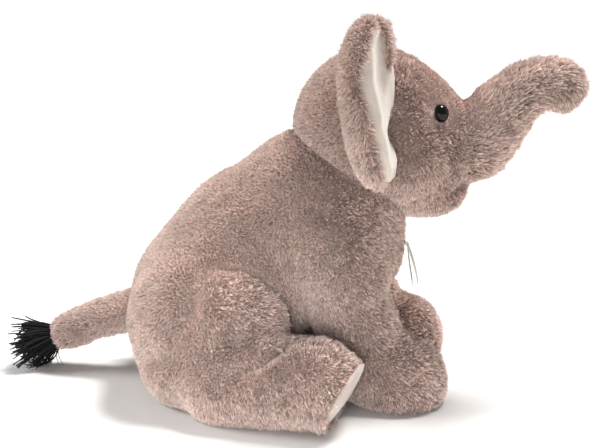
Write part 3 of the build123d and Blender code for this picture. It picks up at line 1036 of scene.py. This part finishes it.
def build_eye(name, side):
    """A glossy safety eye: a domed button with a thin moulded edge."""
    low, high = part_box(f"eye_{name}")
    aim = Vector((0.8, side * 0.56, 0.2)).normalized()
    outer = high.y if side > 0 else low.y
    socket = Vector((high.x - 5.1 * MM, outer - side * 4.6 * MM, high.z - 6.4 * MM)) - aim * 1.9 * MM
    profile = [(0, 6.2)]
    profile += [(6.0 * math.sin(angle), 1.4 + 4.8 * math.cos(angle)) for angle in np.linspace(0.08, 1.5, 16)]
    profile += [(6.15, 0.9), (6.15, 0.2), (5.4, -0.2), (0, -0.2)]
    bm = bmesh.new()
    spokes = 64
    rows = []
    for reach, height in profile:
        row = []
        for spoke in range(spokes if reach else 1):
            angle = 2 * math.pi * spoke / spokes
            row.append(bm.verts.new(mm(reach * math.cos(angle), reach * math.sin(angle), height)))
        rows.append(row)
    for upper, lower in zip(rows, rows[1:]):
        for spoke in range(spokes):
            after = (spoke + 1) % spokes
            quad = [upper[spoke % len(upper)], lower[spoke % len(lower)]]
            quad += [lower[after % len(lower)], upper[after % len(upper)]]
            bm.faces.new(list(dict.fromkeys(quad)))  # a triangle where a row is a single point
    bmesh.ops.recalc_face_normals(bm, faces=bm.faces)
    obj = object_from(f"eye_{name}_button", bm)
    turn = aim.to_track_quat("Z", "Y").to_matrix().to_4x4()
    obj.data.transform(Matrix.Translation(socket) @ turn)
    finish(obj, EYE)
    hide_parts(f"eye_{name}")
    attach(obj, "head")


def strip(name, outline, thickness, material):
    """A thin sheet from rows of points, with real thickness and rounded edges."""
    bm = bmesh.new()
    grid = [[bm.verts.new(point) for point in row] for row in outline]
    for upper, lower in zip(grid, grid[1:]):
        for i in range(len(upper) - 1):
            bm.faces.new((upper[i], upper[i + 1], lower[i + 1], lower[i]))
    obj = object_from(name, bm)
    solid = obj.modifiers.new("sheet", "SOLIDIFY")
    solid.thickness = thickness * MM
    solid.offset = 0
    bevel = obj.modifiers.new("edge", "BEVEL")
    bevel.width = thickness * 0.3 * MM
    bevel.segments = 2
    apply_modifiers(obj)
    finish(obj, material)
    return obj


def build_tag():
    """A blank folded card on a thin cord."""
    low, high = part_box("hang_tag")
    top = Vector((low.x, 0, high.z))
    width = (high.y - low.y) / MM
    height = (high.z - low.z) / MM
    rows = []
    for step in range(-12, 13):
        share = abs(step) / 12
        angle = math.radians(9 if step < 0 else 17)
        bow = 0.8 * math.sin(math.pi * share)
        x = share * height * math.sin(angle) + (bow if step > 0 else -bow * 0.4)
        line = []
        for across in range(-8, 9):
            y = across / 8 * width / 2
            line.append(top + mm(x, y, -share * height * math.cos(angle)))
        rows.append(line)
    card = strip("hang_tag_card", rows, 0.45, CARD)
    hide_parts("hang_tag")
    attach(card, "tag")
    start = TAG_HANGER + mm(-4, 0, 4)
    end = top + mm(0.6, 0, -3.5)
    bm = bmesh.new()
    for apart in (-0.9, 0.9):
        path = []
        for step in range(13):
            share = step / 12
            swell = math.sin(math.pi * share)
            bend = mm(swell * 1.4, apart * swell, swell * 1.4)
            path.append(start.lerp(end, share) + bend)
        tube(bm, path, 0.45 * MM, 8)
    cord = object_from("tag_cord_loop", bm)
    finish(cord, CORD)
    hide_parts("tag_cord")
    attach(cord, "tag")


def build_label():
    """A blank folded ribbon label in the seam beside the tail."""
    low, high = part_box("care_label")
    rows = []
    for step in range(17):
        share = step / 16
        x = high.x - (high.x - low.x) * share
        wave = math.sin(share * 2.6) * 1.6 * MM
        z = np.linspace(low.z, high.z, 9)
        rows.append([Vector((x, (low.y + high.y) / 2 + wave, height - share * 2 * MM)) for height in z])
    label = strip("care_label_ribbon", rows, 0.4, RIBBON)
    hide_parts("care_label")
    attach(label, "torso")


def build_stitches():
    """Ladder stitches that close the back seam."""
    low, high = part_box("closing_thread")
    start = Vector((low.x, 0, low.z))
    end = Vector((high.x, 0, high.z))
    bm = bmesh.new()
    for stitch in range(8):
        centre = start.lerp(end, (stitch + 0.5) / 8)
        path = []
        for step in range(7):
            share = step / 6 - 0.5
            lift = math.cos(share * math.pi) * 0.9
            along = share * 2.2
            path.append(centre + mm(along - lift * 0.7, share * 5.4, along + lift * 0.7))
        tube(bm, path, 0.5 * MM, 8)
    obj = object_from("closing_stitches", bm)
    finish(obj, THREAD)
    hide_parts("closing_thread")
    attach(obj, "torso")


def finish_inner_nodes():
    """Real materials for the CAD nodes that stay inside."""
    inner = {
        "pellet_pouch": POUCH,
        "pellet_fill": PELLETS,
        "eye_washer_right": WASHER,
        "eye_washer_left": WASHER,
    }
    for name, material in inner.items():
        mesh = frame["nodes"][name].data
        mesh.materials.clear()
        mesh.materials.append(material)


# ---------------------------------------------------------------- stage


FLOOR_REACH = 6.0
SUNS = (  # name, the way the light goes, strength, and softness in degrees
    ("key", (-0.30, -0.24, -0.92), 3.6, 16),
    ("left", (0.86, 0.02, -0.50), 2.1, 24),
)
LOW_LAMP_PLACE = Vector((0.0, -0.50, 0.08))
LOW_LAMP_TARGET = Vector((0.02, -0.08, 0.035))  # the hind foot and the belly behind it
CAMERA_TURN = math.radians(6)  # round the object, from its right side towards its front
CAMERA_TILT = math.radians(11.8)  # down
CAMERA_DISTANCE = 0.70
CAMERA_HEIGHT = 0.262
CAMERA_TARGET_X = 0.060


def build_floor():
    """A pale floor that runs out to white."""
    corners = [(x * FLOOR_REACH, y * FLOOR_REACH, 0) for x, y in ((-1, -1), (1, -1), (1, 1), (-1, 1))]
    mesh = bpy.data.meshes.new("floor")
    mesh.from_pydata(corners, [], [(0, 1, 2, 3)])
    floor = new_object("floor", mesh)
    material, nodes, shader = new_material("floor")
    nodes.fill(shader, {"Base Color": (0.88, 0.875, 0.87, 1), "Roughness": 0.7})
    floor.data.materials.append(material)


def build_world():
    """Soft light from all round, and a brighter background for the camera."""
    world = bpy.data.worlds.new("studio")
    bpy.context.scene.world = world
    world.use_nodes = True
    nodes = Nodes(world.node_tree)
    rays = nodes.add("ShaderNodeLightPath").outputs["Is Camera Ray"]
    strength = nodes.add("ShaderNodeMapRange", {"Value": rays, "To Min": 0.28, "To Max": 1.05})
    background = {"Color": (1, 0.995, 0.99, 1), "Strength": strength.outputs["Result"]}
    nodes.fill(world.node_tree.nodes["Background"], background)


def place_lamp(light, way):
    """Put a light in the scene, shining along a direction."""
    lamp = bpy.data.objects.new(light.name, light)
    lamp.rotation_euler = way.to_track_quat("-Z", "Y").to_euler()
    bpy.context.scene.collection.objects.link(lamp)
    return lamp


def build_lights():
    """Two soft suns, and a weak low lamp that lifts the shade under the belly."""
    for name, way, strength, softness in SUNS:
        sun = bpy.data.lights.new(name, "SUN")
        sun.energy = strength
        sun.angle = math.radians(softness)
        sun.color = (1, 0.985, 0.965)
        place_lamp(sun, Vector(way))
    low = bpy.data.lights.new("low", "AREA")
    low.shape = "DISK"
    low.size = 0.25
    low.spread = math.radians(50)
    low.energy = 0.14
    lamp = place_lamp(low, LOW_LAMP_TARGET - LOW_LAMP_PLACE)
    lamp.location = LOW_LAMP_PLACE
    lamp.visible_camera = False


def build_camera():
    """The camera, where the photo was taken from."""
    camera = bpy.data.cameras.new("camera")
    camera.lens = 58.8
    camera.sensor_width = 36
    camera.clip_start = 0.01
    viewer = bpy.data.objects.new("camera", camera)
    viewer.location = (
        CAMERA_TARGET_X + math.sin(CAMERA_TURN) * CAMERA_DISTANCE,
        -math.cos(CAMERA_TURN) * CAMERA_DISTANCE,
        CAMERA_HEIGHT,
    )
    viewer.rotation_euler = (math.radians(90) - CAMERA_TILT, 0, CAMERA_TURN)
    bpy.context.scene.collection.objects.link(viewer)
    bpy.context.scene.camera = viewer
    bpy.context.scene.view_settings.view_transform = "Standard"


build_torso()
build_neck()
build_head()
build_trunk()
for side_name, side_sign in SIDES:
    build_foreleg(side_name, side_sign)
    build_hindleg(side_name, side_sign)
    build_ear(side_name, side_sign)
    build_eye(side_name, side_sign)
build_tail()
build_tuft()
build_tag()
build_label()
build_stitches()
finish_inner_nodes()
seam("head_plush", "body_plush")
seam("neck_plush", "body_plush")
seam("tail_plush", "body_plush", 3)
for side_name, _ in SIDES:
    seam(f"hindleg_{side_name}_plush", "body_plush", 5.5, HIP.x + 4 * MM)
    seam(f"ear_{side_name}_plush", "head_plush", 3)
for skin, seed in PILES:
    grow_strands(skin, seed)
build_floor()
build_world()
build_lights()
build_camera()
